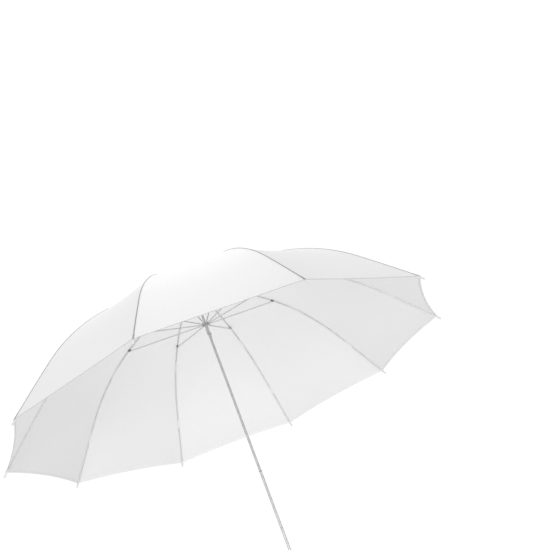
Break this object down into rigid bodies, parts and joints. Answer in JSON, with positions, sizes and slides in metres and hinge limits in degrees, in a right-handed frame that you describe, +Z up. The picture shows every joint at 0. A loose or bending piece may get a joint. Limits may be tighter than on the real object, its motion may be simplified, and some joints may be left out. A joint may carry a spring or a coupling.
{
  "type": "umbrella reflector",
  "caption": "Open white translucent photographic umbrella on a thin steel shaft, with curved channel ribs, stretchers, a sliding runner and a scalloped canopy.",
  "frame": {"origin": "centre of the shaft tube's lower end", "axes": "+Z up the shaft to the crown, +X along the first rib"},
  "size_m": [1.332, 1.267, 0.965],
  "materials": {
    "shaft_steel": "satin plated steel tube",
    "spring_steel": "bright spring steel",
    "rib_steel": "plated folded steel channel",
    "clip_steel": "dark pressed steel",
    "runner_metal": "dark grey metal",
    "dark_plastic": "moulded dark plastic",
    "tip_plastic": "moulded white plastic",
    "canopy_cloth": "white translucent woven nylon"
  },
  "bodies": {
    "mast": {"shaft": "shaft_steel", "end_plug": "dark_plastic", "stop_ring": "spring_steel", "crown_notch": "dark_plastic", "crown_wire": "spring_steel", "crown_cap": "tip_plastic"},
    "slider": {"runner": "runner_metal"},
    "catch": {"catch_spring": "spring_steel"},
    "arm_01": {"rib_01": "rib_steel", "rib_clip_01": "clip_steel", "rib_tip_01": "tip_plastic"},
    "stay_01": {"stretcher_01": "rib_steel"},
    "panel_01": {"gore_01": "canopy_cloth"},
    "arm_02": {"rib_02": "rib_steel", "rib_clip_02": "clip_steel", "rib_tip_02": "tip_plastic"},
    "stay_02": {"stretcher_02": "rib_steel"},
    "panel_02": {"gore_02": "canopy_cloth"},
    "arm_03": {"rib_03": "rib_steel", "rib_clip_03": "clip_steel", "rib_tip_03": "tip_plastic"},
    "stay_03": {"stretcher_03": "rib_steel"},
    "panel_03": {"gore_03": "canopy_cloth"},
    "arm_04": {"rib_04": "rib_steel", "rib_clip_04": "clip_steel", "rib_tip_04": "tip_plastic"},
    "stay_04": {"stretcher_04": "rib_steel"},
    "panel_04": {"gore_04": "canopy_cloth"},
    "arm_05": {"rib_05": "rib_steel", "rib_clip_05": "clip_steel", "rib_tip_05": "tip_plastic"},
    "stay_05": {"stretcher_05": "rib_steel"},
    "panel_05": {"gore_05": "canopy_cloth"},
    "arm_06": {"rib_06": "rib_steel", "rib_clip_06": "clip_steel", "rib_tip_06": "tip_plastic"},
    "stay_06": {"stretcher_06": "rib_steel"},
    "panel_06": {"gore_06": "canopy_cloth"},
    "arm_07": {"rib_07": "rib_steel", "rib_clip_07": "clip_steel", "rib_tip_07": "tip_plastic"},
    "stay_07": {"stretcher_07": "rib_steel"},
    "panel_07": {"gore_07": "canopy_cloth"},
    "arm_08": {"rib_08": "rib_steel", "rib_clip_08": "clip_steel", "rib_tip_08": "tip_plastic"},
    "stay_08": {"stretcher_08": "rib_steel"},
    "panel_08": {"gore_08": "canopy_cloth"},
    "arm_09": {"rib_09": "rib_steel", "rib_clip_09": "clip_steel", "rib_tip_09": "tip_plastic"},
    "stay_09": {"stretcher_09": "rib_steel"},
    "panel_09": {"gore_09": "canopy_cloth"},
    "arm_10": {"rib_10": "rib_steel", "rib_clip_10": "clip_steel", "rib_tip_10": "tip_plastic"},
    "stay_10": {"stretcher_10": "rib_steel"},
    "panel_10": {"gore_10": "canopy_cloth"}
  },
  "joints": [
    {"name": "runner_slide", "type": "slide", "parent": "mast", "child": "slider", "axis": [0, 0, -1], "range_m": [0, 0.43114], "deforming": ["catch_spring", "gore_01", "gore_02", "gore_03", "gore_04", "gore_05", "gore_06", "gore_07", "gore_08", "gore_09", "gore_10"]},
    {"name": "catch_press", "type": "hinge", "parent": "mast", "child": "catch", "pos_m": [0.00038, -0.00012, 0.7571], "axis": [-0.309, -0.9511, 0], "range_deg": [0, 9.5], "stiffness_Nm_per_rad": 1},
    {"name": "rib_fold_01", "type": "hinge", "parent": "mast", "child": "arm_01", "pos_m": [0.01, 0, 0.945], "axis": [0, 1, 0], "range_deg": [0, 60.5]},
    {"name": "stretcher_fold_01", "type": "hinge", "parent": "arm_01", "child": "stay_01", "pos_m": [0.29556, 0, 0.88005], "axis": [0, -1, 0], "range_deg": [0, 121]},
    {"name": "gore_fold_01", "type": "hinge", "parent": "arm_01", "child": "panel_01", "pos_m": [0.01, 0.00325, 0.945], "axis": [-0.8317, -0.2702, -0.485], "range_deg": [0, 35.83]},
    {"name": "rib_fold_02", "type": "hinge", "parent": "mast", "child": "arm_02", "pos_m": [0.00809, 0.00588, 0.945], "axis": [-0.5878, 0.809, 0], "range_deg": [0, 60.5]},
    {"name": "stretcher_fold_02", "type": "hinge", "parent": "arm_02", "child": "stay_02", "pos_m": [0.23912, 0.17373, 0.88005], "axis": [0.5878, -0.809, 0], "range_deg": [0, 121]},
    {"name": "gore_fold_02", "type": "hinge", "parent": "arm_02", "child": "panel_02", "pos_m": [0.00618, 0.00851, 0.945], "axis": [-0.514, -0.7075, -0.485], "range_deg": [0, 35.83]},
    {"name": "rib_fold_03", "type": "hinge", "parent": "mast", "child": "arm_03", "pos_m": [0.00309, 0.00951, 0.945], "axis": [-0.9511, 0.309, 0], "range_deg": [0, 60.5]},
    {"name": "stretcher_fold_03", "type": "hinge", "parent": "arm_03", "child": "stay_03", "pos_m": [0.09133, 0.2811, 0.88005], "axis": [0.9511, -0.309, 0], "range_deg": [0, 121]},
    {"name": "gore_fold_03", "type": "hinge", "parent": "arm_03", "child": "panel_03", "pos_m": [0, 0.01051, 0.945], "axis": [0, -0.8745, -0.485], "range_deg": [0, 35.83]},
    {"name": "rib_fold_04", "type": "hinge", "parent": "mast", "child": "arm_04", "pos_m": [-0.00309, 0.00951, 0.945], "axis": [-0.9511, -0.309, 0], "range_deg": [0, 60.5]},
    {"name": "stretcher_fold_04", "type": "hinge", "parent": "arm_04", "child": "stay_04", "pos_m": [-0.09133, 0.2811, 0.88005], "axis": [0.9511, 0.309, 0], "range_deg": [0, 121]},
    {"name": "gore_fold_04", "type": "hinge", "parent": "arm_04", "child": "panel_04", "pos_m": [-0.00618, 0.00851, 0.945], "axis": [0.514, -0.7075, -0.485], "range_deg": [0, 35.83]},
    {"name": "rib_fold_05", "type": "hinge", "parent": "mast", "child": "arm_05", "pos_m": [-0.00809, 0.00588, 0.945], "axis": [-0.5878, -0.809, 0], "range_deg": [0, 60.5]},
    {"name": "stretcher_fold_05", "type": "hinge", "parent": "arm_05", "child": "stay_05", "pos_m": [-0.23912, 0.17373, 0.88005], "axis": [0.5878, 0.809, 0], "range_deg": [0, 121]},
    {"name": "gore_fold_05", "type": "hinge", "parent": "arm_05", "child": "panel_05", "pos_m": [-0.01, 0.00325, 0.945], "axis": [0.8317, -0.2702, -0.485], "range_deg": [0, 35.83]},
    {"name": "rib_fold_06", "type": "hinge", "parent": "mast", "child": "arm_06", "pos_m": [-0.01, 0, 0.945], "axis": [0, -1, 0], "range_deg": [0, 60.5]},
    {"name": "stretcher_fold_06", "type": "hinge", "parent": "arm_06", "child": "stay_06", "pos_m": [-0.29556, 0, 0.88005], "axis": [0, 1, 0], "range_deg": [0, 121]},
    {"name": "gore_fold_06", "type": "hinge", "parent": "arm_06", "child": "panel_06", "pos_m": [-0.01, -0.00325, 0.945], "axis": [0.8317, 0.2702, -0.485], "range_deg": [0, 35.83]},
    {"name": "rib_fold_07", "type": "hinge", "parent": "mast", "child": "arm_07", "pos_m": [-0.00809, -0.00588, 0.945], "axis": [0.5878, -0.809, 0], "range_deg": [0, 60.5]},
    {"name": "stretcher_fold_07", "type": "hinge", "parent": "arm_07", "child": "stay_07", "pos_m": [-0.23912, -0.17373, 0.88005], "axis": [-0.5878, 0.809, 0], "range_deg": [0, 121]},
    {"name": "gore_fold_07", "type": "hinge", "parent": "arm_07", "child": "panel_07", "pos_m": [-0.00618, -0.00851, 0.945], "axis": [0.514, 0.7075, -0.485], "range_deg": [0, 35.83]},
    {"name": "rib_fold_08", "type": "hinge", "parent": "mast", "child": "arm_08", "pos_m": [-0.00309, -0.00951, 0.945], "axis": [0.9511, -0.309, 0], "range_deg": [0, 60.5]},
    {"name": "stretcher_fold_08", "type": "hinge", "parent": "arm_08", "child": "stay_08", "pos_m": [-0.09133, -0.2811, 0.88005], "axis": [-0.9511, 0.309, 0], "range_deg": [0, 121]},
    {"name": "gore_fold_08", "type": "hinge", "parent": "arm_08", "child": "panel_08", "pos_m": [0, -0.01051, 0.945], "axis": [0, 0.8745, -0.485], "range_deg": [0, 35.83]},
    {"name": "rib_fold_09", "type": "hinge", "parent": "mast", "child": "arm_09", "pos_m": [0.00309, -0.00951, 0.945], "axis": [0.9511, 0.309, 0], "range_deg": [0, 60.5]},
    {"name": "stretcher_fold_09", "type": "hinge", "parent": "arm_09", "child": "stay_09", "pos_m": [0.09133, -0.2811, 0.88005], "axis": [-0.9511, -0.309, 0], "range_deg": [0, 121]},
    {"name": "gore_fold_09", "type": "hinge", "parent": "arm_09", "child": "panel_09", "pos_m": [0.00618, -0.00851, 0.945], "axis": [-0.514, 0.7075, -0.485], "range_deg": [0, 35.83]},
    {"name": "rib_fold_10", "type": "hinge", "parent": "mast", "child": "arm_10", "pos_m": [0.00809, -0.00588, 0.945], "axis": [0.5878, 0.809, 0], "range_deg": [0, 60.5]},
    {"name": "stretcher_fold_10", "type": "hinge", "parent": "arm_10", "child": "stay_10", "pos_m": [0.23912, -0.17373, 0.88005], "axis": [-0.5878, -0.809, 0], "range_deg": [0, 121]},
    {"name": "gore_fold_10", "type": "hinge", "parent": "arm_10", "child": "panel_10", "pos_m": [0.01, -0.00325, 0.945], "axis": [-0.8317, 0.2702, -0.485], "range_deg": [0, 35.83]}
  ],
  "couplings": [
    {"joint": "rib_fold_01", "follows": "runner_slide", "rad_per_m": 2.4491},
    {"joint": "stretcher_fold_01", "follows": "runner_slide", "rad_per_m": 4.8982},
    {"joint": "gore_fold_01", "follows": "runner_slide", "rad_per_m": 1.4502},
    {"joint": "rib_fold_02", "follows": "runner_slide", "rad_per_m": 2.4491},
    {"joint": "stretcher_fold_02", "follows": "runner_slide", "rad_per_m": 4.8982},
    {"joint": "gore_fold_02", "follows": "runner_slide", "rad_per_m": 1.4502},
    {"joint": "rib_fold_03", "follows": "runner_slide", "rad_per_m": 2.4491},
    {"joint": "stretcher_fold_03", "follows": "runner_slide", "rad_per_m": 4.8982},
    {"joint": "gore_fold_03", "follows": "runner_slide", "rad_per_m": 1.4502},
    {"joint": "rib_fold_04", "follows": "runner_slide", "rad_per_m": 2.4491},
    {"joint": "stretcher_fold_04", "follows": "runner_slide", "rad_per_m": 4.8982},
    {"joint": "gore_fold_04", "follows": "runner_slide", "rad_per_m": 1.4502},
    {"joint": "rib_fold_05", "follows": "runner_slide", "rad_per_m": 2.4491},
    {"joint": "stretcher_fold_05", "follows": "runner_slide", "rad_per_m": 4.8982},
    {"joint": "gore_fold_05", "follows": "runner_slide", "rad_per_m": 1.4502},
    {"joint": "rib_fold_06", "follows": "runner_slide", "rad_per_m": 2.4491},
    {"joint": "stretcher_fold_06", "follows": "runner_slide", "rad_per_m": 4.8982},
    {"joint": "gore_fold_06", "follows": "runner_slide", "rad_per_m": 1.4502},
    {"joint": "rib_fold_07", "follows": "runner_slide", "rad_per_m": 2.4491},
    {"joint": "stretcher_fold_07", "follows": "runner_slide", "rad_per_m": 4.8982},
    {"joint": "gore_fold_07", "follows": "runner_slide", "rad_per_m": 1.4502},
    {"joint": "rib_fold_08", "follows": "runner_slide", "rad_per_m": 2.4491},
    {"joint": "stretcher_fold_08", "follows": "runner_slide", "rad_per_m": 4.8982},
    {"joint": "gore_fold_08", "follows": "runner_slide", "rad_per_m": 1.4502},
    {"joint": "rib_fold_09", "follows": "runner_slide", "rad_per_m": 2.4491},
    {"joint": "stretcher_fold_09", "follows": "runner_slide", "rad_per_m": 4.8982},
    {"joint": "gore_fold_09", "follows": "runner_slide", "rad_per_m": 1.4502},
    {"joint": "rib_fold_10", "follows": "runner_slide", "rad_per_m": 2.4491},
    {"joint": "stretcher_fold_10", "follows": "runner_slide", "rad_per_m": 4.8982},
    {"joint": "gore_fold_10", "follows": "runner_slide", "rad_per_m": 1.4502}
  ]
}
